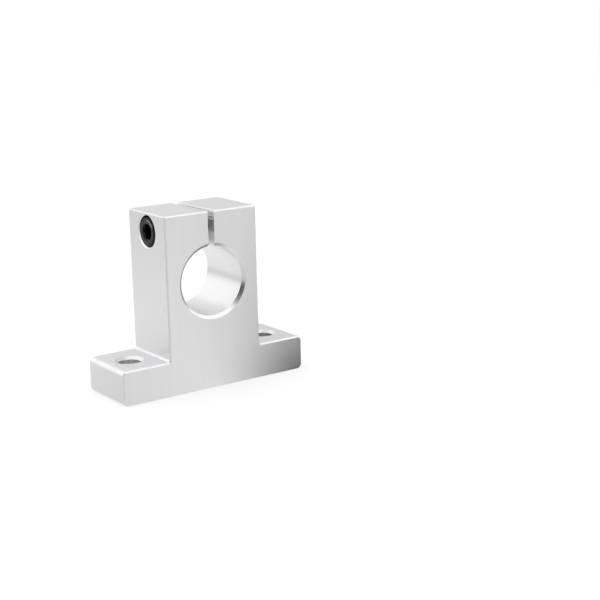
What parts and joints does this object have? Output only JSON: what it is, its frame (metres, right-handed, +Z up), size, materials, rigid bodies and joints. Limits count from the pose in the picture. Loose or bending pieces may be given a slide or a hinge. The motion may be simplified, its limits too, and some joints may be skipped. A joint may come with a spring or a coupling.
{
  "type": "shaft support block",
  "caption": "Aluminium block on two flanges that holds the end of a round shaft in a split bore, with a recessed socket head screw that closes the slit and clamps the shaft.",
  "frame": {"origin": "middle of the underside, below the shaft's axis", "axes": "+X along the flanges, from the screw's head to its tip; +Y along the shaft; +Z up from the mounting face"},
  "size_m": [0.06, 0.02, 0.051],
  "materials": {
    "block": "satin, clear anodised",
    "screw": "black oxide"
  },
  "bodies": {
    "block": {"support_block": "block"},
    "screw": {"clamp_screw": "screw"}
  },
  "joints": [
    {"name": "clamp_screw_turn", "type": "hinge", "parent": "block", "child": "screw", "pos_m": [-0.0149, 0, 0.0455], "axis": [1, 0, 0], "range_deg": [-90, 90]}
  ]
}
